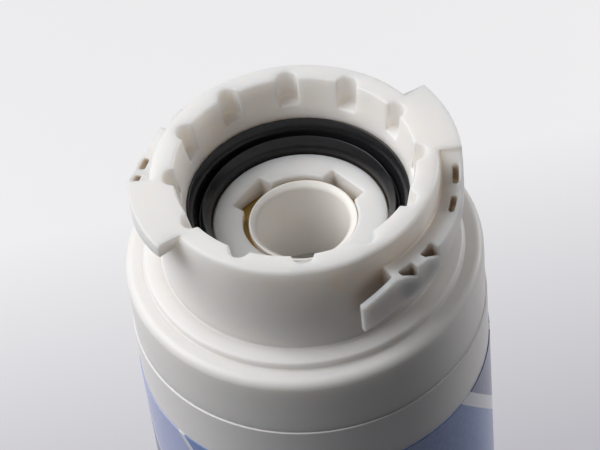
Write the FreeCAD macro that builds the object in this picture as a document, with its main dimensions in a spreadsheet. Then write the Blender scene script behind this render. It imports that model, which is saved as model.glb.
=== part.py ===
import FreeCAD, Part
import os
import Sketcher

# Water filter cartridge with a quarter-turn bayonet head.
# Millimetres, +Z up, origin at the centre of the base.

SIZES = {
    # Outer shell
    "overall_height": 240.0,
    "body_radius": 35.0,
    "shell_wall": 2.0,
    "shell_floor": 3.0,
    "foot_width": 8.0,
    "foot_recess": 1.5,
    "base_round": 5.0,
    "lip_chamfer": 0.15,
    # Weld joint between shell and head
    "seam_drop": 36.8,
    "cap_inset": 0.3,
    "plug_length": 6.0,
    "plug_wall": 2.0,
    "weld_gap": 0.1,
    # Two-tier shoulder and neck of the head
    "shoulder_drop": 22.7,
    "shoulder_width": 3.8,
    "shoulder_round": 1.8,
    "tier_height": 1.7,
    "tier_width": 3.7,
    "tier_chamfer": 0.5,
    "roof_wall": 2.6,
    "neck_wall": 4.45,
    "rim_chamfer": 0.8,
    # Funnel, seal gland and slotted boss inside the neck
    "funnel_depth": 9.0,
    "funnel_taper": 1.5,
    "gland_drop": 17.6,
    "gland_width": 4.45,
    "floor_wall": 2.6,
    "boss_height": 2.9,
    "boss_width": 5.75,
    "boss_chamfer": 0.3,
    "slot_count": 2,
    "slot_angle": 40.0,
    "slot_spread": 100.0,
    "slot_width": 8.6,
    "slot_reach": 1.8,
    # Half-round notches in the rim
    "notch_count": 12,
    "notch_radius": 2.0,
    "notch_depth": 6.2,
    # Bayonet wings: spans are angles, in order from the low end of a wing
    "wing_reach": 4.2,
    "wing_root": 1.6,
    "wing_end_angle": 288.0,
    "wing_depth": 15.2,
    "wing_tip": 2.8,
    "tail_span": 13.5,
    "tail_height": 6.6,
    "tail_rise": 2.5,
    "tail_climb": 3.5,
    "tail_wall": 1.4,
    "heel_span": 2.5,
    "level_span": 16.5,
    "shelf_drop": 5.6,
    "shelf_span": 34.0,
    "slope_span": 10.0,
    "slope_rise": 1.0,
    "ramp_span": 12.0,
    "ramp_step": 1.0,
    "tip_span": 34.0,
    # Pockets in the top of a wing
    "pocket_wall": 0.9,
    "pocket_margin": 2.2,
    "pocket_skin": 1.0,
    "pocket_span": 6.5,
    "pocket_land": 0.8,
    "pocket_gap": 4.7,
    "sill_drop": 2.8,
    "ramp_pocket_land": 2.0,
    "ramp_pocket_span": 6.0,
    # Lip seal
    "seal_fit": 0.05,
    "seal_height": 8.6,
    "seal_bevel": 0.3,
    "outer_lip_width": 1.3,
    "outer_lip_drop": 1.6,
    "seal_groove_drop": 4.2,
    "seal_groove_width": 0.6,
    "groove_slope": 0.6,
    "inner_lip_drop": 2.3,
    "inner_lip_width": 1.4,
    "lip_tip_drop": 4.6,
    "lip_tip_height": 0.7,
    "seal_heel": 0.35,
    # Outlet tube, seated a little off centre as the loose core lies in the shell
    "core_offset": 0.5,
    "tube_gap": 0.6,
    "tube_wall": 1.6,
    "tube_drop": 0.8,
    "tube_insert": 8.0,
    "tube_chamfer": 0.15,
    "tube_lead_in": 1.15,
    "collar_width": 2.7,
    "collar_height": 1.5,
    # Hot-melt bead round the collar
    "glue_fit": 0.05,
    "bead_width": 2.4,
    "bead_crest": 0.4,
    # Filter core
    "core_headroom": 4.8,
    "flow_gap": 4.5,
    "end_disc": 2.5,
    "skirt_wall": 1.5,
    "skirt_length": 6.0,
    "core_fit": 0.05,
    "wrap_thickness": 0.9,
    "foot_height": 8.0,
    "foot_rib": 2.0,
    "foot_rib_count": 4,
    "foot_hub": 6.0,
    "foot_clearance": 1.5,
    # Printed film round the shell
    "label_top_drop": 49.0,
    "label_foot": 14.0,
    "label_gap": 0.02,
    "label_film": 0.2,
    "label_seam_angle": 1.5,
}

# Radii, from the outside inwards
SHELL_BORE = "(Sizes.body_radius - Sizes.shell_wall)"
CAP_RADIUS = "(Sizes.body_radius - Sizes.cap_inset)"
PLUG_RADIUS = f"({SHELL_BORE} - Sizes.weld_gap)"
PLUG_BORE = f"({PLUG_RADIUS} - Sizes.plug_wall)"
TIER_RADIUS = f"({CAP_RADIUS} - Sizes.shoulder_width)"
NECK_RADIUS = f"({TIER_RADIUS} - Sizes.tier_width)"
WING_RADIUS = f"({NECK_RADIUS} + Sizes.wing_reach)"
NECK_BORE = f"({NECK_RADIUS} - Sizes.neck_wall)"
SEAT_RADIUS = f"({NECK_BORE} - Sizes.funnel_taper)"
BOSS_RADIUS = f"({SEAT_RADIUS} - Sizes.gland_width)"
BOSS_BORE = f"({BOSS_RADIUS} - Sizes.boss_width)"
TUBE_RADIUS = f"({BOSS_BORE} - Sizes.tube_gap)"
TUBE_BORE = f"({TUBE_RADIUS} - Sizes.tube_wall)"
COLLAR_RADIUS = f"({TUBE_RADIUS} + Sizes.collar_width)"
SKIRT_RADIUS = f"({SHELL_BORE} - Sizes.flow_gap)"
SKIRT_BORE = f"({SKIRT_RADIUS} - Sizes.skirt_wall)"
WRAP_RADIUS = f"({SKIRT_BORE} - Sizes.core_fit)"
WRAP_BORE = f"({WRAP_RADIUS} - Sizes.wrap_thickness)"
BLOCK_RADIUS = f"({WRAP_BORE} - Sizes.core_fit)"
BLOCK_BORE = f"({TUBE_RADIUS} + Sizes.core_fit)"
LABEL_BORE = "(Sizes.body_radius + Sizes.label_gap)"
LABEL_RADIUS = f"({LABEL_BORE} + Sizes.label_film)"

# Levels, from the rim downwards and from the base upwards
RIM = "Sizes.overall_height"
SEAM = f"({RIM} - Sizes.seam_drop)"
SHOULDER = f"({RIM} - Sizes.shoulder_drop)"
TIER = f"({SHOULDER} + Sizes.tier_height)"
GLAND = f"({RIM} - Sizes.gland_drop)"
BOSS = f"({GLAND} + Sizes.boss_height)"
FLOOR_UNDER = f"({GLAND} - Sizes.floor_wall)"
CAP_DISC_TOP = f"({FLOOR_UNDER} - Sizes.core_headroom)"
BLOCK_TOP = f"({CAP_DISC_TOP} - Sizes.end_disc)"
SHELL_FLOOR = "(Sizes.foot_recess + Sizes.shell_floor)"
FOOT_DISC = f"({SHELL_FLOOR} + Sizes.foot_height)"
BLOCK_FOOT = f"({FOOT_DISC} + Sizes.end_disc)"
COLLAR_TOP = f"({CAP_DISC_TOP} + Sizes.collar_height)"

# Angles along a wing, counted up from its low end
TAIL_END = "Sizes.tail_span"
HEEL_END = f"({TAIL_END} + Sizes.heel_span)"
SHELF_END = f"({HEEL_END} + Sizes.shelf_span)"
SLOPE_END = f"({SHELF_END} + Sizes.slope_span)"
RAMP_END = f"({SLOPE_END} + Sizes.ramp_span)"
WING_END = f"({RAMP_END} + Sizes.tip_span)"
LEVEL_END = f"({TAIL_END} + Sizes.level_span)"

# Heights on a wing, counted up from the foot of its low end
TAIL_CREST = "(Sizes.tail_height + Sizes.tail_climb)"
SHELF_LEVEL = "(Sizes.wing_depth - Sizes.shelf_drop)"
SLOPE_CREST = f"({SHELF_LEVEL} + Sizes.slope_rise)"
RAMP_CREST = "(Sizes.wing_depth - Sizes.ramp_step)"
WING_CLIMB = "(Sizes.wing_depth - Sizes.wing_tip - Sizes.tail_rise)"

# The wings reach a little into the neck, and what is cut from them reaches past both sides
WING_ROOT = f"({NECK_RADIUS} - Sizes.wing_root)"
WING_INSIDE = f"({WING_ROOT} - Sizes.wing_root)"
WING_OUTSIDE = f"({WING_RADIUS} + Sizes.wing_reach)"

Z_AXIS = FreeCAD.Vector(0, 0, 1)
POSITION_TOLERANCE = 1e-4

doc = FreeCAD.newDocument("FilterCartridge")
sheet = doc.addObject("Spreadsheet::Sheet", "Sizes")
for row, (alias, number) in enumerate(SIZES.items(), start=1):
    sheet.set(f"A{row}", alias)
    sheet.set(f"B{row}", str(number))
    sheet.setAlias(f"B{row}", alias)
doc.recompute()


def value(expression):
    """The number that an expression of the sheet's sizes gives."""
    return float(sheet.evalExpression(expression))


def origin_feature(body, role):
    """A plane or axis of a body's own origin."""
    return next(feature for feature in body.Origin.OriginFeatures if feature.Role == role)


def outline(body, name, plane, points):
    """A closed outline of straight lines, each corner held by two expressions of the sizes."""
    sketch = body.newObject("Sketcher::SketchObject", name)
    sketch.AttachmentSupport = (origin_feature(body, plane), "")
    sketch.MapMode = "FlatFace"
    corners = [FreeCAD.Vector(value(across), value(up), 0) for across, up in points]
    for index, corner in enumerate(corners):
        following = corners[(index + 1) % len(corners)]
        sketch.addGeometry(Part.LineSegment(corner, following))
    for index in range(len(corners)):
        following = (index + 1) % len(corners)
        sketch.addConstraint(Sketcher.Constraint("Coincident", index, 2, following, 1))
    for index, (across, up) in enumerate(points):
        for kind, expression in (("DistanceX", across), ("DistanceY", up)):
            held = Sketcher.Constraint(kind, -1, 1, index, 1, value(expression))
            number = sketch.addConstraint(held)
            sketch.setExpression(f"Constraints[{number}]", expression)
    return sketch


def turned_body(label, points):
    """A body turned about the axis from its half section of (radius, height) corners."""
    body = doc.addObject("PartDesign::Body", label)
    body.Label = label
    section = outline(body, f"{label}_section", "XZ_Plane", points)
    turned = body.newObject("PartDesign::Revolution", f"{label}_turned")
    turned.Profile = section
    turned.ReferenceAxis = (section, ["V_Axis"])
    turned.Angle = 360
    section.Visibility = False
    doc.recompute()
    return body


def ring_edges(body, rings):
    """The names of the body's circular edges that lie at the given (radius, height) places."""
    places = [(value(across), value(up)) for across, up in rings]
    chosen = []
    for index, edge in enumerate(body.Tip.Shape.Edges, start=1):
        if not isinstance(edge.Curve, Part.Circle):
            continue
        for across, up in places:
            same_radius = abs(edge.Curve.Radius - across) < POSITION_TOLERANCE
            same_height = abs(edge.Curve.Center.z - up) < POSITION_TOLERANCE
            if same_radius and same_height:
                chosen.append(f"Edge{index}")
    return chosen


def round_rings(body, name, radius, rings):
    """Rounds circular edges."""
    base = (body.Tip, ring_edges(body, rings))
    fillet = body.newObject("PartDesign::Fillet", name)
    fillet.Base = base
    fillet.setExpression("Radius", radius)
    doc.recompute()


def bevel_rings(body, name, size, rings):
    """Breaks circular edges with a narrow bevel."""
    base = (body.Tip, ring_edges(body, rings))
    chamfer = body.newObject("PartDesign::Chamfer", name)
    chamfer.Base = base
    chamfer.setExpression("Size", size)
    doc.recompute()


def repeat_round(body, name, originals, count, spread="360"):
    """Repeats features evenly over an angle about the body's vertical axis."""
    pattern = body.newObject("PartDesign::PolarPattern", name)
    pattern.Originals = originals
    pattern.Axis = (origin_feature(body, "Z_Axis"), [""])
    pattern.setExpression("Angle", spread)
    pattern.setExpression("Occurrences", count)
    body.Tip = pattern
    doc.recompute()


def place(feature, **expressions):
    """Binds the named coordinates of a feature's position."""
    for axis, expression in expressions.items():
        feature.setExpression(f"Placement.Base.{axis}", expression)


def ring_sector(name, bore, radius, start, span, foot, height):
    """A block bent round the axis: a sector of a ring that starts at an angle."""
    outer = doc.addObject("Part::Cylinder", f"{name}_outer")
    inner = doc.addObject("Part::Cylinder", f"{name}_inner")
    outer.setExpression("Radius", radius)
    inner.setExpression("Radius", bore)
    outer.setExpression("Angle", span)
    for cylinder in (outer, inner):
        cylinder.setExpression("Height", height)
        place(cylinder, z=foot)
    outer.Placement.Rotation = FreeCAD.Rotation(Z_AXIS, value(start))
    outer.setExpression("Placement.Rotation.Angle", start)
    sector = doc.addObject("Part::Cut", name)
    sector.Base = outer
    sector.Tool = inner
    return sector


def helical_block(name, start, span, rise, foot, hand="Right-handed", bore=WING_INSIDE):
    """A block as deep as a wing that climbs round the axis between two upright radial planes."""
    path = doc.addObject("Part::Helix", f"{name}_path")
    path.LocalCoord = hand
    path.setExpression("Pitch", f"{rise} * 360 / {span}")
    path.setExpression("Height", rise)
    path.setExpression("Radius", WING_OUTSIDE)
    section = doc.addObject("Part::Plane", f"{name}_section")
    section.setExpression("Length", f"{WING_OUTSIDE} - {bore}")
    section.setExpression("Width", "Sizes.wing_depth")
    section.Placement.Rotation = FreeCAD.Rotation(FreeCAD.Vector(1, 0, 0), 90)
    place(section, x=bore)
    block = doc.addObject("Part::Sweep", name)
    block.Sections = [section]
    block.Spine = (path, ["Edge1"])
    block.Solid = True
    block.Frenet = True
    block.Placement.Rotation = FreeCAD.Rotation(Z_AXIS, value(start))
    block.setExpression("Placement.Rotation.Angle", start)
    place(block, z=foot)
    return block


def wing_underside(name):
    """What is cut away below a wing: the steep tail, a level stretch and the long climb."""
    depth = "Sizes.wing_depth"
    level_foot = f"(Sizes.tail_rise - {depth})"
    climb_span = f"({WING_END} - {LEVEL_END})"
    return [
        helical_block(f"{name}_tail_foot", "0", TAIL_END, "Sizes.tail_rise", f"-{depth}"),
        ring_sector(
            f"{name}_level", WING_INSIDE, WING_OUTSIDE, TAIL_END, "Sizes.level_span", level_foot, depth
        ),
        helical_block(f"{name}_climb", LEVEL_END, climb_span, WING_CLIMB, level_foot),
    ]


def wing_topside(name):
    """What is cut away above a wing: tail, heel, shelf, gentle slope and steep ramp, up to the tip."""
    depth = "Sizes.wing_depth"
    shelf_span = "Sizes.shelf_span"
    heel_rise = f"({TAIL_CREST} - {SHELF_LEVEL})"
    ramp_rise = f"({RAMP_CREST} - {SLOPE_CREST})"
    return [
        helical_block(f"{name}_tail_top", "0", TAIL_END, "Sizes.tail_climb", "Sizes.tail_height"),
        helical_block(f"{name}_heel", HEEL_END, "Sizes.heel_span", heel_rise, SHELF_LEVEL, "Left-handed"),
        ring_sector(f"{name}_shelf", WING_INSIDE, WING_OUTSIDE, HEEL_END, shelf_span, SHELF_LEVEL, depth),
        helical_block(f"{name}_slope", SHELF_END, "Sizes.slope_span", "Sizes.slope_rise", SHELF_LEVEL),
        helical_block(f"{name}_ramp", SLOPE_END, "Sizes.ramp_span", ramp_rise, SLOPE_CREST),
    ]


def pocket_floor(end):
    """The floor of a pocket that ends at an angle: a skin above the highest underside below it."""
    climb_rate = f"({WING_CLIMB} / ({WING_END} - {LEVEL_END}))"
    climb = f"(max(0; {end} - {LEVEL_END}) * {climb_rate})"
    return f"(Sizes.tail_rise + {climb} + Sizes.pocket_skin)"


def wing_openings(name):
    """The gap behind the sprung tail and four blind pockets, the lower two with a sloping sill."""
    depth = "Sizes.wing_depth"
    span = "Sizes.pocket_span"
    tail_inside = f"({WING_RADIUS} - Sizes.tail_wall)"
    pocket_bore = f"({NECK_RADIUS} + Sizes.pocket_margin)"
    pocket_radius = f"({WING_RADIUS} - Sizes.pocket_wall)"
    sill = f"({SHELF_LEVEL} - Sizes.sill_drop)"
    first_start = f"({HEEL_END} + Sizes.pocket_land)"
    second_start = f"({first_start} + {span} + Sizes.pocket_gap)"
    third_start = f"({SHELF_END} + Sizes.pocket_land)"
    ramp_start = f"({SLOPE_END} + Sizes.ramp_pocket_land)"
    pockets = (
        ("first", first_start, span),
        ("second", second_start, span),
        ("third", third_start, span),
        ("ramp", ramp_start, "Sizes.ramp_pocket_span"),
    )
    openings = [ring_sector(f"{name}_tail_gap", WING_INSIDE, tail_inside, "0", TAIL_END, "0", depth)]
    for order, start, length in pockets:
        pocket = f"{name}_{order}_pocket"
        floor = pocket_floor(f"({start} + {length})")
        openings.append(ring_sector(pocket, pocket_bore, pocket_radius, start, length, floor, depth))
    for order, start in (("first", first_start), ("second", second_start)):
        slope = f"{name}_{order}_sill"
        end = f"({start} + {span})"
        openings.append(helical_block(slope, end, span, "Sizes.sill_drop", sill, "Left-handed", pocket_bore))
    return openings


def bayonet_wing(name, turn):
    """One wing: a sprung tail at its low end, a shelf with pockets and a ramp up to a flush tip."""
    blank = ring_sector(f"{name}_blank", WING_ROOT, WING_RADIUS, "0", WING_END, "0", "Sizes.wing_depth")
    removed = doc.addObject("Part::MultiFuse", f"{name}_removed")
    removed.Shapes = wing_underside(name) + wing_topside(name) + wing_openings(name)
    wing = doc.addObject("Part::Cut", name)
    wing.Base = blank
    wing.Tool = removed
    wing.Placement.Rotation = FreeCAD.Rotation(Z_AXIS, value(turn))
    wing.setExpression("Placement.Rotation.Angle", turn)
    place(wing, z=f"{RIM} - Sizes.wing_depth")
    return wing


def canister():
    """The long shell: rounded base on a foot ring, open at the top where the head is welded on."""
    foot_bore = "(Sizes.body_radius - Sizes.base_round - Sizes.foot_width)"
    body = turned_body("canister", [
        ("0", "Sizes.foot_recess"),
        (foot_bore, "Sizes.foot_recess"),
        (f"({foot_bore} + Sizes.foot_recess)", "0"),
        ("Sizes.body_radius", "0"),
        ("Sizes.body_radius", SEAM),
        (SHELL_BORE, SEAM),
        (SHELL_BORE, SHELL_FLOOR),
        ("0", SHELL_FLOOR),
    ])
    round_rings(body, "canister_base_round", "Sizes.base_round", [("Sizes.body_radius", "0")])
    bevel_rings(body, "canister_lip_bevel", "Sizes.lip_chamfer", [("Sizes.body_radius", SEAM)])
    return body


def head_moulding():
    """The turned part of the head, with its notched rim and slotted boss."""
    body = turned_body("head_moulding", [
        (PLUG_BORE, f"{SEAM} - Sizes.plug_length"),
        (PLUG_RADIUS, f"{SEAM} - Sizes.plug_length"),
        (PLUG_RADIUS, SEAM),
        (CAP_RADIUS, SEAM),
        (CAP_RADIUS, SHOULDER),
        (TIER_RADIUS, SHOULDER),
        (TIER_RADIUS, TIER),
        (NECK_RADIUS, TIER),
        (NECK_RADIUS, RIM),
        (NECK_BORE, RIM),
        (SEAT_RADIUS, f"{RIM} - Sizes.funnel_depth"),
        (SEAT_RADIUS, GLAND),
        (BOSS_RADIUS, GLAND),
        (BOSS_RADIUS, BOSS),
        (BOSS_BORE, BOSS),
        (BOSS_BORE, FLOOR_UNDER),
        (f"{NECK_RADIUS} - Sizes.tier_width", FLOOR_UNDER),
        (NECK_RADIUS, f"{TIER} - Sizes.roof_wall"),
        (PLUG_BORE, f"{SHOULDER} - Sizes.roof_wall"),
    ])
    round_rings(body, "shoulder_round", "Sizes.shoulder_round", [(CAP_RADIUS, SHOULDER)])
    bevel_rings(body, "tier_bevel", "Sizes.tier_chamfer", [(TIER_RADIUS, TIER)])
    bevel_rings(body, "rim_bevel", "Sizes.rim_chamfer", [(NECK_RADIUS, RIM)])
    bevel_rings(body, "boss_bevel", "Sizes.boss_chamfer", [(BOSS_RADIUS, BOSS)])

    notch = body.newObject("PartDesign::SubtractiveCylinder", "notch")
    notch.setExpression("Radius", "Sizes.notch_radius")
    notch.setExpression("Height", "Sizes.notch_depth")
    place(notch, x=NECK_BORE, z=f"{RIM} - Sizes.notch_depth")
    repeat_round(body, "notches", [notch], "Sizes.notch_count")

    slot = body.newObject("PartDesign::SubtractiveBox", "boss_slot")
    slot.setExpression("Length", f"{BOSS_BORE} + Sizes.slot_reach")
    slot.setExpression("Width", "Sizes.slot_width")
    slot.setExpression("Height", f"{BOSS} - {FLOOR_UNDER} + Sizes.boss_height")
    slot.Placement.Rotation = FreeCAD.Rotation(Z_AXIS, value("Sizes.slot_angle"))
    slot.setExpression("Placement.Rotation.Angle", "Sizes.slot_angle")
    place(
        slot,
        x="Sizes.slot_width / 2 * sin(Sizes.slot_angle * 1 deg)",
        y="-Sizes.slot_width / 2 * cos(Sizes.slot_angle * 1 deg)",
        z=FLOOR_UNDER,
    )
    repeat_round(body, "boss_slots", [slot], "Sizes.slot_count", "Sizes.slot_spread")
    return body


def head_cap():
    """The head: the turned moulding with two bayonet wings grown from its neck."""
    moulding = head_moulding()
    first_wing = bayonet_wing("first_wing", "Sizes.wing_end_angle")
    second_wing = bayonet_wing("second_wing", "Sizes.wing_end_angle - 180")
    head = doc.addObject("Part::MultiFuse", "head_cap")
    head.Label = "head_cap"
    head.Shapes = [moulding, first_wing, second_wing]
    head.Refine = False
    return head


def lip_seal():
    """The rubber ring in the gland: an outer lip, a groove and a sprung inner lip."""
    outside = f"({SEAT_RADIUS} - Sizes.seal_fit)"
    top = f"({GLAND} + Sizes.seal_height)"
    lip_foot = f"({outside} - Sizes.outer_lip_width)"
    groove_outer = f"({lip_foot} - Sizes.groove_slope)"
    groove_inner = f"({groove_outer} - Sizes.seal_groove_width)"
    crest = f"({groove_inner} - Sizes.seal_bevel)"
    tip = f"({crest} - Sizes.inner_lip_width)"
    heel = f"({BOSS_RADIUS} + Sizes.seal_heel)"
    return turned_body("lip_seal", [
        (heel, GLAND),
        (outside, GLAND),
        (outside, f"{top} - Sizes.seal_bevel"),
        (f"{outside} - Sizes.seal_bevel", top),
        (lip_foot, f"{top} - Sizes.outer_lip_drop"),
        (groove_outer, f"{top} - Sizes.seal_groove_drop"),
        (groove_inner, f"{top} - Sizes.seal_groove_drop"),
        (f"{groove_inner} - Sizes.seal_bevel / 2", f"{top} - Sizes.inner_lip_drop - Sizes.seal_bevel"),
        (crest, f"{top} - Sizes.inner_lip_drop"),
        (tip, f"{top} - Sizes.lip_tip_drop"),
        (tip, f"{top} - Sizes.lip_tip_drop - Sizes.lip_tip_height"),
    ])


def outlet_tube():
    """The central tube: a wide lead-in just below the boss, a collar and a foot in the filter block."""
    top = f"({BOSS} - Sizes.tube_drop)"
    foot = f"({BLOCK_TOP} - Sizes.tube_insert)"
    body = turned_body("outlet_tube", [
        (TUBE_BORE, foot),
        (TUBE_RADIUS, foot),
        (TUBE_RADIUS, CAP_DISC_TOP),
        (COLLAR_RADIUS, CAP_DISC_TOP),
        (COLLAR_RADIUS, COLLAR_TOP),
        (TUBE_RADIUS, COLLAR_TOP),
        (TUBE_RADIUS, top),
        (TUBE_BORE, top),
    ])
    bevel_rings(body, "tube_bevel", "Sizes.tube_chamfer", [(TUBE_RADIUS, top)])
    bevel_rings(body, "tube_lead_in", "Sizes.tube_lead_in", [(TUBE_BORE, top)])
    place(body, x="Sizes.core_offset")
    return body


def tube_glue_bead():
    """Hot-melt laid over the collar and down to the end cap, highest against the tube."""
    inside = f"({TUBE_RADIUS} + Sizes.glue_fit)"
    collar_side = f"({COLLAR_RADIUS} + Sizes.glue_fit)"
    crest = f"({FLOOR_UNDER} - Sizes.bead_crest)"
    body = turned_body("tube_glue_bead", [
        (inside, COLLAR_TOP),
        (collar_side, COLLAR_TOP),
        (collar_side, CAP_DISC_TOP),
        (f"{collar_side} + Sizes.bead_width", CAP_DISC_TOP),
        (inside, crest),
    ])
    place(body, x="Sizes.core_offset")
    return body


def upper_end_cap():
    """The cup glued over the top of the block, pierced for the outlet tube."""
    body = turned_body("upper_end_cap", [
        (BLOCK_BORE, BLOCK_TOP),
        (SKIRT_BORE, BLOCK_TOP),
        (SKIRT_BORE, f"{BLOCK_TOP} - Sizes.skirt_length"),
        (SKIRT_RADIUS, f"{BLOCK_TOP} - Sizes.skirt_length"),
        (SKIRT_RADIUS, CAP_DISC_TOP),
        (BLOCK_BORE, CAP_DISC_TOP),
    ])
    place(body, x="Sizes.core_offset")
    return body


def carbon_block():
    """The hollow block of pressed carbon."""
    body = turned_body("carbon_block", [
        (BLOCK_BORE, BLOCK_FOOT),
        (BLOCK_RADIUS, BLOCK_FOOT),
        (BLOCK_RADIUS, BLOCK_TOP),
        (BLOCK_BORE, BLOCK_TOP),
    ])
    place(body, x="Sizes.core_offset")
    return body


def prefilter_wrap():
    """The nonwoven sheet wound round the block, as long as the block."""
    body = turned_body("prefilter_wrap", [
        (WRAP_BORE, BLOCK_FOOT),
        (WRAP_RADIUS, BLOCK_FOOT),
        (WRAP_RADIUS, BLOCK_TOP),
        (WRAP_BORE, BLOCK_TOP),
    ])
    place(body, x="Sizes.core_offset")
    return body


def lower_end_cap():
    """The closed cup under the block, on ribs that stand on the shell's floor and centre it."""
    body = turned_body("lower_end_cap", [
        ("0", FOOT_DISC),
        (SKIRT_RADIUS, FOOT_DISC),
        (SKIRT_RADIUS, f"{BLOCK_FOOT} + Sizes.skirt_length"),
        (SKIRT_BORE, f"{BLOCK_FOOT} + Sizes.skirt_length"),
        (SKIRT_BORE, BLOCK_FOOT),
        ("0", BLOCK_FOOT),
    ])
    rib = body.newObject("PartDesign::AdditiveBox", "foot_rib")
    rib.setExpression("Length", f"{SHELL_BORE} - Sizes.foot_clearance - Sizes.foot_hub")
    rib.setExpression("Width", "Sizes.foot_rib")
    rib.setExpression("Height", "Sizes.foot_height + Sizes.end_disc")
    place(rib, x="Sizes.foot_hub", y="-Sizes.foot_rib / 2", z=SHELL_FLOOR)
    repeat_round(body, "foot_ribs", [rib], "Sizes.foot_rib_count")
    place(body, x="Sizes.core_offset")
    return body


def label_film():
    """The film round the shell, its two ends meeting at the back with a narrow gap."""
    start = "(90 + Sizes.label_seam_angle / 2)"
    height = f"({RIM} - Sizes.label_top_drop - Sizes.label_foot)"
    span = "(360 - Sizes.label_seam_angle)"
    film = ring_sector("label", LABEL_BORE, LABEL_RADIUS, start, span, "Sizes.label_foot", height)
    film.Label = "label"
    return film


SUB_PARTS = [
    canister(),
    head_cap(),
    lip_seal(),
    outlet_tube(),
    tube_glue_bead(),
    upper_end_cap(),
    carbon_block(),
    prefilter_wrap(),
    lower_end_cap(),
    label_film(),
]
doc.recompute()

for feature in doc.Objects:
    if "Invalid" in feature.State or "Error" in feature.State:
        raise RuntimeError(f"{feature.Label} failed to build: {feature.State}")
for part in SUB_PARTS:
    if part.Shape.isNull() or not part.Shape.isValid():
        raise RuntimeError(f"{part.Label} has no valid shape")
    if len(part.Shape.Solids) != 1:
        raise RuntimeError(f"{part.Label} is not one solid")

os.makedirs("parts", exist_ok=True)
for part in SUB_PARTS:
    part.Shape.exportStep(f"parts/{part.Label}.step")
    print(part.Label, round(part.Shape.Volume, 1), part.Shape.BoundBox)
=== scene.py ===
import math
import bmesh
import bpy
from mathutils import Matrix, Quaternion, Vector


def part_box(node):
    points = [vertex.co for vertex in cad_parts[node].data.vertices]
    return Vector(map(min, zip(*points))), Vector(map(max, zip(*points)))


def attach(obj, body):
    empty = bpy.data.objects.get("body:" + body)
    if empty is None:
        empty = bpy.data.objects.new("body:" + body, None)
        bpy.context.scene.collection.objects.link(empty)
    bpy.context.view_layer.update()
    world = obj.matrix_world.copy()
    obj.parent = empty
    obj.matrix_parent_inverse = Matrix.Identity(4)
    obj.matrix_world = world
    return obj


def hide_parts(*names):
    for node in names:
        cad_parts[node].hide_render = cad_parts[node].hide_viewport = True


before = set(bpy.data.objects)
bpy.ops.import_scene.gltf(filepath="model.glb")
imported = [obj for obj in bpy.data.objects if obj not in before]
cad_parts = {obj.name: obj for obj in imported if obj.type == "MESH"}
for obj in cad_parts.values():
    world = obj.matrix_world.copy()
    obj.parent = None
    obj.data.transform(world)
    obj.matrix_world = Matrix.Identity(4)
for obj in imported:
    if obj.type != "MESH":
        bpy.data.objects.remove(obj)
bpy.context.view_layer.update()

MM = 0.001
ROOT = "root"

# View of the photograph, about the cartridge's axis
PHOTO_WIDTH = 600
FOCAL_PIXELS = 2500.0
SENSOR_WIDTH = 36.0
CAMERA_PLACE = Vector((5.63, -322.81, 575.17)) * MM
CAMERA_AIM = Vector((-0.23, 0.0, 223.06)) * MM
CAMERA_ROLL = math.radians(6.71)

# Limits for joining points, merging flat triangles and rounding sharp edges
WELD_DISTANCE = 0.004 * MM
FLAT_ANGLE = math.radians(0.5)
SHARP_ANGLE = math.radians(50.0)

# Places on the part
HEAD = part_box("head_cap")
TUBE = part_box("outlet_tube")
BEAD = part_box("tube_glue_bead")
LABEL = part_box("label")
RIM_HEIGHT = HEAD[1][2]
TUBE_FOOT = TUBE[0][2]
TUBE_OFFSET = (TUBE[0][0] + TUBE[1][0]) / 2
COLLAR_WIDTH = 2.7 * MM
TUBE_RADIUS = (TUBE[1][1] - TUBE[0][1]) / 2 - COLLAR_WIDTH
TUBE_GAP = 0.6 * MM
BOSS_BORE = TUBE_RADIUS + TUBE_GAP
SLOT_ANGLES = (math.radians(40.0), math.radians(140.0))
SLOT_SECTOR = math.radians(45.0)
SLOT_HALF_WIDTH = 4.3 * MM
SLOT_REACH = 1.8 * MM
SLOT_END = BOSS_BORE + SLOT_REACH
SLOT_LEAST_SINE = 0.05
NECK_RADIUS = 27.2 * MM
NECK_MARGIN = 0.1 * MM

# Adhesive in the gap between tube and boss: its lumps have a height in mm, waves round and a shift
ADHESIVE_TURNS = 240
ADHESIVE_STEPS = 6
ADHESIVE_BITE = 0.02 * MM
ADHESIVE_HEAP = math.radians(190.0)
ADHESIVE_SPREAD = math.radians(42.0)
ADHESIVE_LOW = 1.2 * MM
ADHESIVE_RISE = 3.0 * MM
ADHESIVE_HOLLOW = 0.3 * MM
ADHESIVE_LUMPS = ((0.22, 5, 0.7), (0.16, 11, 0.0))

# Sleeve in the bore of the carbon block
SLEEVE_TURNS = 96
SLEEVE_RADIUS = TUBE_RADIUS
SLEEVE_WALL = 0.7 * MM


# Node helpers, for a material or the world

def new_material(name):
    """A material with its Principled shader."""
    material = bpy.data.materials.new(name)
    material.use_nodes = True
    return material, material.node_tree.nodes["Principled BSDF"]


def add_node(material, kind, values=None, **settings):
    """A node with its settings and the values of its named inputs."""
    node = material.node_tree.nodes.new(kind)
    for setting, value in settings.items():
        setattr(node, setting, value)
    for socket, value in (values or {}).items():
        node.inputs[socket].default_value = value
    return node


def link(material, output, target):
    """Joins the output of one node to the input of another."""
    material.node_tree.links.new(output, target)


def object_place(material):
    """Coordinates in metres, in the frame of the part."""
    return add_node(material, "ShaderNodeTexCoord").outputs["Object"]


def noise_texture(material, scale, detail=3.0, roughness=0.5):
    """Noise in the frame of the part, with its scale per metre."""
    values = {"Scale": scale, "Detail": detail, "Roughness": roughness}
    texture = add_node(material, "ShaderNodeTexNoise", values)
    link(material, object_place(material), texture.inputs["Vector"])
    return texture.outputs["Fac"]


def spread(material, factor, low, high):
    """Maps the middle of a noise to a range."""
    values = {"From Min": 0.3, "From Max": 0.7, "To Min": low, "To Max": high}
    mapped = add_node(material, "ShaderNodeMapRange", values)
    link(material, factor, mapped.inputs["Value"])
    return mapped.outputs["Result"]


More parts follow.
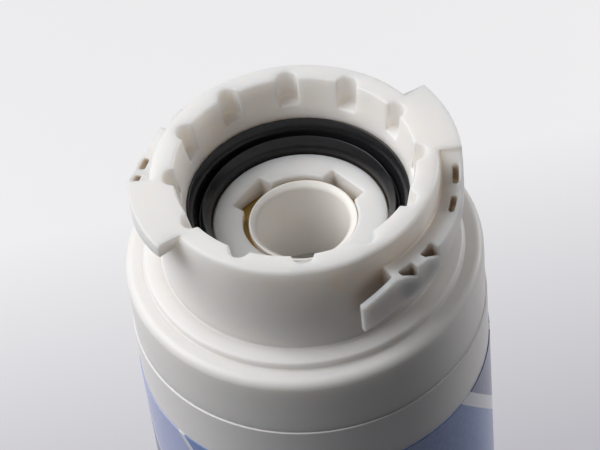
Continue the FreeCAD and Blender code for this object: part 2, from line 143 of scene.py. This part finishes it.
def blend_colours(material, factor, first, second):
    """Mixes two colours, each a colour or the output of a node."""
    mix = add_node(material, "ShaderNodeMix", data_type="RGBA")
    link(material, factor, mix.inputs[0])
    for socket, colour in ((mix.inputs[6], first), (mix.inputs[7], second)):
        if isinstance(colour, bpy.types.NodeSocket):
            link(material, colour, socket)
        else:
            socket.default_value = (*colour, 1.0)
    return mix.outputs[2]


def add_bump(material, shader, height, distance, strength):
    """Fine relief from the output of a node."""
    bump = add_node(material, "ShaderNodeBump", {"Distance": distance, "Strength": strength})
    link(material, height, bump.inputs["Height"])
    link(material, bump.outputs["Normal"], shader.inputs["Normal"])


def calculate(material, operation, first, second):
    """A sum on two values, each a number or the output of a node."""
    node = add_node(material, "ShaderNodeMath", operation=operation)
    for socket, value in zip(node.inputs, (first, second)):
        if isinstance(value, bpy.types.NodeSocket):
            link(material, value, socket)
        else:
            socket.default_value = value
    return node.outputs[0]


# Print of the label: its slope in half turns per metre, and each field's start in half turns and colour
LABEL_NAVY = (0.05, 0.08, 0.2)
LABEL_BLUE = (0.1, 0.2, 0.5)
LABEL_PERIWINKLE = (0.36, 0.42, 0.72)
LABEL_PALE = (0.72, 0.74, 0.8)
LABEL_SLOPE = 7.0
LABEL_FOOT = 22.0 * MM
LABEL_FIELDS = (
    (0.0, LABEL_BLUE),
    (0.12, LABEL_PALE),
    (0.15, LABEL_NAVY),
    (0.3, LABEL_PALE),
    (0.315, LABEL_PERIWINKLE),
    (0.54, LABEL_PALE),
    (0.555, LABEL_BLUE),
)

# Painted shade in narrow recesses of the plastic: its colour, how far the recesses reach, and how open
# they are
OCCLUSION_SAMPLES = 8
RECESS_PAINTED_SHADE = (0.74, 0.66, 0.57)
RECESS_REACH = 3.0 * MM
RECESS_OPEN = 0.45
WING_RECESS_PAINTED_SHADE = (0.48, 0.42, 0.365)
WING_RECESS_REACH = 9.0 * MM
WING_RECESS_SHUT = 0.15
WING_RECESS_OPEN = 0.72

# More light seeps through the neck than through the shoulder below it
SEEP_BY_COLOUR = (1.0, 0.88, 0.76)
SHOULDER_HEIGHT = RIM_HEIGHT - 22.0 * MM
NECK_GLOW_HEIGHT = RIM_HEIGHT - 10.0 * MM
SHOULDER_GLOW = 0.6
NECK_GLOW = 1.0


# Materials

def ambient_occlusion(material, reach):
    """How open a place is within a reach, from 0 to 1."""
    kind = "ShaderNodeAmbientOcclusion"
    return add_node(material, kind, {"Distance": reach}, samples=OCCLUSION_SAMPLES).outputs["AO"]


def moulded_plastic(name, colour, shade, glow, depth, roughness):
    """Satin polypropylene: cloudy colour, painted shade that browns narrow recesses, and light that seeps
    through it.
    """
    material, shader = new_material(name)
    clouds = noise_texture(material, scale=90.0, detail=4.0)
    surface = blend_colours(material, clouds, colour, shade)
    # Painted shade: the colour turns brown where ambient occlusion finds a narrow recess
    openness = ambient_occlusion(material, RECESS_REACH)
    open_part = add_node(material, "ShaderNodeMapRange", {"From Min": 0.0, "From Max": RECESS_OPEN})
    link(material, openness, open_part.inputs["Value"])
    with_painted_shade = blend_colours(material, open_part.outputs["Result"], RECESS_PAINTED_SHADE, surface)
    link(material, with_painted_shade, shader.inputs["Base Color"])
    gloss = noise_texture(material, scale=260.0, detail=5.0, roughness=0.6)
    uneven_gloss = spread(material, gloss, low=roughness - 0.05, high=roughness + 0.07)
    link(material, uneven_gloss, shader.inputs["Roughness"])
    shader.inputs["Subsurface Weight"].default_value = glow
    shader.inputs["Subsurface Radius"].default_value = SEEP_BY_COLOUR
    shader.inputs["Subsurface Scale"].default_value = depth
    shader.inputs["IOR"].default_value = 1.49
    shader.inputs["Specular IOR Level"].default_value = 0.32
    grain = noise_texture(material, scale=1500.0, detail=4.0, roughness=0.6)
    add_bump(material, shader, grain, distance=0.03 * MM, strength=0.25)
    return material


def outside_neck(material):
    """1 outside the wall of the neck and 0 within it."""
    level = add_node(material, "ShaderNodeVectorMath", operation="MULTIPLY")
    level.inputs[1].default_value = (1.0, 1.0, 0.0)
    link(material, object_place(material), level.inputs[0])
    reach = add_node(material, "ShaderNodeVectorMath", operation="LENGTH")
    link(material, level.outputs["Vector"], reach.inputs[0])
    return calculate(material, "GREATER_THAN", reach.outputs["Value"], NECK_RADIUS - NECK_MARGIN)


def head_plastic():
    """Plastic of the head: its neck glows most, and painted shade browns the recesses between neck and
    wings and the corners at the neck's foot.
    """
    material = moulded_plastic(
        "head_plastic", colour=(0.92, 0.89, 0.865), shade=(0.9, 0.865, 0.835),
        glow=NECK_GLOW, depth=6.0 * MM, roughness=0.4,
    )
    shader = material.node_tree.nodes["Principled BSDF"]
    place = add_node(material, "ShaderNodeSeparateXYZ")
    link(material, object_place(material), place.inputs["Vector"])
    heights = {"From Min": SHOULDER_HEIGHT, "From Max": NECK_GLOW_HEIGHT}
    glows = {"To Min": SHOULDER_GLOW, "To Max": NECK_GLOW}
    glow = add_node(material, "ShaderNodeMapRange", heights | glows)
    link(material, place.outputs["Z"], glow.inputs["Value"])
    link(material, glow.outputs["Result"], shader.inputs["Subsurface Weight"])
    # Painted shade: outside the neck wall, the colour turns brown where ambient occlusion finds the gaps
    # by the wings and the corners at the neck's foot
    openness = ambient_occlusion(material, WING_RECESS_REACH)
    open_range = {"From Min": WING_RECESS_SHUT, "From Max": WING_RECESS_OPEN}
    shut = add_node(material, "ShaderNodeMapRange", open_range | {"To Min": 1.0, "To Max": 0.0})
    link(material, openness, shut.inputs["Value"])
    recess = calculate(material, "MULTIPLY", outside_neck(material), shut.outputs["Result"])
    surface = shader.inputs["Base Color"].links[0].from_socket
    with_painted_shade = blend_colours(material, recess, surface, WING_RECESS_PAINTED_SHADE)
    link(material, with_painted_shade, shader.inputs["Base Color"])
    return material


def seal_rubber():
    """Black moulded rubber with a faint grey bloom."""
    material, shader = new_material("seal_rubber")
    bloom = noise_texture(material, scale=420.0, detail=5.0, roughness=0.65)
    colour = blend_colours(material, bloom, (0.009, 0.009, 0.0105), (0.015, 0.015, 0.017))
    link(material, colour, shader.inputs["Base Color"])
    link(material, spread(material, bloom, low=0.2, high=0.25), shader.inputs["Roughness"])
    shader.inputs["IOR"].default_value = 1.5
    shader.inputs["Specular IOR Level"].default_value = 0.3
    grain = noise_texture(material, scale=2200.0, detail=3.0)
    add_bump(material, shader, grain, distance=0.02 * MM, strength=0.3)
    return material


def hot_melt():
    """Amber adhesive, glossy and a little cloudy."""
    material, shader = new_material("hot_melt")
    clouds = noise_texture(material, scale=300.0, detail=3.0)
    colour = blend_colours(material, clouds, (0.36, 0.2, 0.02), (0.5, 0.31, 0.05))
    link(material, colour, shader.inputs["Base Color"])
    shader.inputs["Roughness"].default_value = 0.22
    shader.inputs["Subsurface Weight"].default_value = 0.35
    shader.inputs["Subsurface Radius"].default_value = (1.0, 0.55, 0.1)
    shader.inputs["Subsurface Scale"].default_value = 1.5 * MM
    lumps = noise_texture(material, scale=500.0, detail=2.0)
    add_bump(material, shader, lumps, distance=0.2 * MM, strength=0.5)
    return material


def pressed_carbon():
    """Matt black grains pressed into a block."""
    material, shader = new_material("pressed_carbon")
    texture = add_node(material, "ShaderNodeTexVoronoi", {"Scale": 1400.0})
    link(material, object_place(material), texture.inputs["Vector"])
    grains = texture.outputs["Distance"]
    colour = blend_colours(material, grains, (0.035, 0.035, 0.036), (0.008, 0.008, 0.008))
    link(material, colour, shader.inputs["Base Color"])
    shader.inputs["Roughness"].default_value = 0.85
    add_bump(material, shader, grains, distance=0.3 * MM, strength=0.8)
    return material


def nonwoven():
    """White felted sheet with crossing fibres."""
    material, shader = new_material("nonwoven")
    stretched = add_node(material, "ShaderNodeMapping")
    stretched.inputs["Scale"].default_value = (1.0, 1.0, 0.2)
    link(material, object_place(material), stretched.inputs["Vector"])
    fibres = add_node(material, "ShaderNodeTexNoise", {"Scale": 1600.0, "Detail": 6.0, "Distortion": 1.5})
    link(material, stretched.outputs["Vector"], fibres.inputs["Vector"])
    colour = blend_colours(material, fibres.outputs["Fac"], (0.66, 0.66, 0.64), (0.86, 0.86, 0.84))
    link(material, colour, shader.inputs["Base Color"])
    shader.inputs["Roughness"].default_value = 0.9
    add_bump(material, shader, fibres.outputs["Fac"], distance=0.2 * MM, strength=0.7)
    return material


def label_print():
    """Glossy printed film: sloping fields of blue with pale lines between them, and a plain foot."""
    material, shader = new_material("label_print")
    place = add_node(material, "ShaderNodeSeparateXYZ")
    link(material, object_place(material), place.inputs["Vector"])
    turn = calculate(material, "ARCTAN2", place.outputs["Y"], place.outputs["X"])
    around = calculate(material, "MULTIPLY", turn, 1.0 / math.pi)
    along = calculate(material, "MULTIPLY", place.outputs["Z"], LABEL_SLOPE)
    slant = calculate(material, "ADD", around, along)
    field = calculate(material, "FRACT", slant, 0.0)
    print_colours = add_node(material, "ShaderNodeValToRGB")
    print_colours.color_ramp.interpolation = "CONSTANT"
    stops = print_colours.color_ramp.elements
    while len(stops) < len(LABEL_FIELDS):
        stops.new(0.5)
    for stop, (start, colour) in zip(stops, LABEL_FIELDS):
        stop.position = start
        stop.color = (*colour, 1.0)
    link(material, field, print_colours.inputs["Fac"])
    foot = calculate(material, "LESS_THAN", place.outputs["Z"], LABEL[0][2] + LABEL_FOOT)
    printed = blend_colours(material, foot, print_colours.outputs["Color"], LABEL_NAVY)
    clouds = noise_texture(material, scale=900.0, detail=2.0)
    faded = spread(material, clouds, low=0.0, high=0.08)
    link(material, blend_colours(material, faded, printed, LABEL_PALE), shader.inputs["Base Color"])
    shader.inputs["Roughness"].default_value = 0.3
    shader.inputs["Coat Weight"].default_value = 0.35
    shader.inputs["Coat Roughness"].default_value = 0.12
    ripple = noise_texture(material, scale=70.0, detail=2.0)
    add_bump(material, shader, ripple, distance=0.15 * MM, strength=0.25)
    return material


# Pieces

def softened(node, width, segments):
    """A copy of a moulded node with its sharp edges rounded, which then stands for the node."""
    form = bmesh.new()
    form.from_mesh(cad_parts[node].data)
    bmesh.ops.remove_doubles(form, verts=form.verts, dist=WELD_DISTANCE)
    bmesh.ops.join_triangles(
        form, faces=form.faces, angle_face_threshold=FLAT_ANGLE, angle_shape_threshold=math.pi
    )
    sharp = [edge for edge in form.edges if edge.calc_face_angle() > SHARP_ANGLE]
    bmesh.ops.bevel(
        form, geom=sharp, offset=width, segments=segments, profile=0.5, affect="EDGES", miter_outer="ARC"
    )
    for face in form.faces:
        face.smooth = True
    mesh = bpy.data.meshes.new(f"{node}_soft")
    form.to_mesh(mesh)
    form.free()
    piece = bpy.data.objects.new(f"{node}_soft", mesh)
    bpy.context.collection.objects.link(piece)
    piece.modifiers.new("flat_faces", "WEIGHTED_NORMAL")
    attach(piece, ROOT)
    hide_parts(node)
    return piece


def new_piece(name, points, faces):
    """A smooth mesh that rides with the part."""
    mesh = bpy.data.meshes.new(name)
    mesh.from_pydata(points, [], faces)
    for face in mesh.polygons:
        face.use_smooth = True
    piece = bpy.data.objects.new(name, mesh)
    bpy.context.collection.objects.link(piece)
    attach(piece, ROOT)
    return piece


def closed_ring(name, sections):
    """A ring through equal closed sections, each a list of points in the same order."""
    points = [point for section in sections for point in section]
    size = len(sections[0])
    faces = []
    for turn in range(len(sections)):
        after = (turn + 1) % len(sections)
        for corner in range(size):
            beside = (corner + 1) % size
            faces.append((
                turn * size + corner, after * size + corner, after * size + beside, turn * size + beside
            ))
    return new_piece(name, points, faces)


def boss_reach(angle):
    """How far the boss is open from the axis: its bore, or the end or side of a slot."""
    for slot in SLOT_ANGLES:
        apart = abs(angle - slot)
        if BOSS_BORE * math.sin(apart) < SLOT_HALF_WIDTH and apart < SLOT_SECTOR:
            side = SLOT_HALF_WIDTH / max(math.sin(apart), SLOT_LEAST_SINE)
            return min(SLOT_END / math.cos(apart), side)
    return BOSS_BORE


def squeezed_adhesive():
    """Hot melt pressed up between the tube and the boss: highest at the wide side, with a hollow top."""
    foot = Vector((0, 0, BEAD[1][2]))
    sections = []
    for turn in range(ADHESIVE_TURNS):
        angle = 2 * math.pi * turn / ADHESIVE_TURNS
        across = Vector((math.cos(angle), math.sin(angle), 0))
        inner = Vector((TUBE_OFFSET, 0, 0)) + across * (TUBE_RADIUS - ADHESIVE_BITE)
        outer = across * (boss_reach(angle) + ADHESIVE_BITE)
        heap = math.exp(-(((angle - ADHESIVE_HEAP) / ADHESIVE_SPREAD) ** 2))
        lumps = sum(height * math.sin(waves * angle + shift) for height, waves, shift in ADHESIVE_LUMPS)
        crest = BEAD[1][2] + ADHESIVE_LOW + ADHESIVE_RISE * heap + lumps * MM
        section = [inner + foot, outer + foot]
        for step in range(ADHESIVE_STEPS, -1, -1):
            share = step / ADHESIVE_STEPS
            hollow = ADHESIVE_HOLLOW * math.sin(math.pi * share)
            section.append(inner.lerp(outer, share) + Vector((0, 0, crest - hollow)))
        sections.append(section)
    return closed_ring("squeezed_adhesive", sections)


def core_sleeve():
    """The pale sleeve that lines the bore of the carbon block below the tube."""
    carbon_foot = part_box("carbon_block")[0][2]
    sleeve_bore = SLEEVE_RADIUS - SLEEVE_WALL
    levels = ((sleeve_bore, carbon_foot), (SLEEVE_RADIUS, carbon_foot))
    levels += ((SLEEVE_RADIUS, TUBE_FOOT), (sleeve_bore, TUBE_FOOT))
    axis = Vector((TUBE_OFFSET, 0, 0))
    sections = []
    for turn in range(SLEEVE_TURNS):
        angle = 2 * math.pi * turn / SLEEVE_TURNS
        across = Vector((math.cos(angle), math.sin(angle), 0))
        sections.append([axis + across * radius + Vector((0, 0, level)) for radius, level in levels])
    return closed_ring("core_sleeve", sections)


def dress(piece, material):
    """Gives a new piece its material."""
    piece.data.materials.clear()
    piece.data.materials.append(material)


def paint(node, material):
    """Gives a node that stays as it is a better material."""
    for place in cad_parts[node].material_slots:
        place.material = material


# Stage: the floor carries painted light, growing paler away from the camera, and a little to the left
FLOOR_HALF = 3.0
FLOOR_FADE = Vector((-0.12, 0.9, 0.0))
FLOOR_NEAR = 0.09
FLOOR_FAR = 0.2
FLOOR_NEAR_PAINTED_SHADE = (0.6, 0.59, 0.63)
FLOOR_FAR_PAINTED_LIGHT = (0.99, 0.985, 1.0)
FLOOR_BOUNCE = (0.2, 0.2, 0.205)
WORLD_COLOUR = (0.95, 0.97, 1.0, 1.0)


def seen_directly(material):
    """1 for what the camera sees, also by a mirror or through glass, and 0 for light on its way."""
    ray = add_node(material, "ShaderNodeLightPath")
    mirrored = calculate(material, "MAXIMUM", ray.outputs["Is Camera Ray"], ray.outputs["Is Glossy Ray"])
    return calculate(material, "MAXIMUM", mirrored, ray.outputs["Is Transmission Ray"])


def pale_floor():
    """A wide pale floor with painted light that falls off towards the camera, which throws little light
    back at the part.
    """
    material, shader = new_material("pale_floor")
    shader.inputs["Roughness"].default_value = 0.9
    shader.inputs["Specular IOR Level"].default_value = 0.0
    # Painted light falloff: the seen colour grows paler along the fade direction
    depth = add_node(material, "ShaderNodeVectorMath", operation="DOT_PRODUCT")
    depth.inputs[1].default_value = FLOOR_FADE
    link(material, object_place(material), depth.inputs[0])
    fade = add_node(material, "ShaderNodeMapRange", {"From Min": FLOOR_NEAR, "From Max": FLOOR_FAR})
    link(material, depth.outputs["Value"], fade.inputs["Value"])
    pale = blend_colours(material, fade.outputs["Result"], FLOOR_NEAR_PAINTED_SHADE, FLOOR_FAR_PAINTED_LIGHT)
    colour = blend_colours(material, seen_directly(material), FLOOR_BOUNCE, pale)
    link(material, colour, shader.inputs["Base Color"])
    half = FLOOR_HALF
    corners = [(-half, -half, 0), (half, -half, 0), (half, half, 0), (-half, half, 0)]
    mesh = bpy.data.meshes.new("floor")
    mesh.from_pydata(corners, [], [(0, 1, 2, 3)])
    floor = bpy.data.objects.new("floor", mesh)
    mesh.materials.append(material)
    bpy.context.collection.objects.link(floor)


def soft_lamp(name, direction, distance, size, power, colour):
    """A square lamp that looks at the head of the cartridge from a direction."""
    aim = Vector((0, 0, RIM_HEIGHT))
    data = bpy.data.lights.new(name, "AREA")
    data.size = size
    data.energy = power
    data.color = colour
    lamp = bpy.data.objects.new(name, data)
    towards = Vector(direction).normalized()
    lamp.location = aim + towards * distance
    lamp.rotation_mode = "QUATERNION"
    lamp.rotation_quaternion = (-towards).to_track_quat("-Z", "Y")
    bpy.context.collection.objects.link(lamp)


def even_light(strength, seen_strength):
    """A world that lights the part weakly and looks pale where it is seen."""
    world = bpy.data.worlds.new("even_light")
    world.use_nodes = True
    background = world.node_tree.nodes["Background"]
    background.inputs["Color"].default_value = WORLD_COLOUR
    levels = add_node(world, "ShaderNodeMapRange", {"To Min": strength, "To Max": seen_strength})
    link(world, seen_directly(world), levels.inputs["Value"])
    link(world, levels.outputs["Result"], background.inputs["Strength"])
    bpy.context.scene.world = world


def photo_camera():
    """The camera that saw the photograph."""
    data = bpy.data.cameras.new("photo_camera")
    data.sensor_width = SENSOR_WIDTH
    data.lens = SENSOR_WIDTH * FOCAL_PIXELS / PHOTO_WIDTH
    data.clip_start = 0.01
    camera = bpy.data.objects.new("photo_camera", data)
    camera.location = CAMERA_PLACE
    camera.rotation_mode = "QUATERNION"
    level = (CAMERA_AIM - CAMERA_PLACE).to_track_quat("-Z", "Y")
    camera.rotation_quaternion = level @ Quaternion((0, 0, 1), -CAMERA_ROLL)
    bpy.context.collection.objects.link(camera)
    bpy.context.scene.camera = camera


# Materials that are made once
shell_plastic = moulded_plastic(
    "shell_plastic", colour=(0.89, 0.87, 0.87), shade=(0.87, 0.85, 0.85),
    glow=0.2, depth=3.0 * MM, roughness=0.42,
)
tube_plastic = moulded_plastic(
    "tube_plastic", colour=(0.975, 0.945, 0.905), shade=(0.965, 0.93, 0.885),
    glow=0.1, depth=2.0 * MM, roughness=0.42,
)
core_plastic = moulded_plastic(
    "core_plastic", colour=(0.82, 0.82, 0.8), shade=(0.8, 0.8, 0.77),
    glow=0.2, depth=3.0 * MM, roughness=0.45,
)
adhesive = hot_melt()
felt = nonwoven()

# Dressed pieces and painted nodes
dress(softened("head_cap", width=0.38 * MM, segments=4), head_plastic())
dress(softened("canister", width=0.26 * MM, segments=3), shell_plastic)
dress(softened("lip_seal", width=0.24 * MM, segments=4), seal_rubber())
dress(softened("outlet_tube", width=0.6 * MM, segments=5), tube_plastic)
dress(squeezed_adhesive(), adhesive)
dress(core_sleeve(), felt)
paint("tube_glue_bead", adhesive)
paint("upper_end_cap", core_plastic)
paint("lower_end_cap", core_plastic)
paint("carbon_block", pressed_carbon())
paint("prefilter_wrap", felt)
paint("label", label_print())

# Floor, light and camera
pale_floor()
soft_lamp(
    "key", direction=(-0.69, 0.08, 0.72), distance=1.2, size=1.0, power=17.0, colour=(1.0, 1.0, 1.0)
)
soft_lamp(
    "edge", direction=(0.82, 0.52, 0.2), distance=0.8, size=0.3, power=3.0, colour=(1.0, 0.99, 0.98)
)
even_light(strength=0.05, seen_strength=0.7)
photo_camera()

bpy.context.scene.view_settings.view_transform = "Standard"
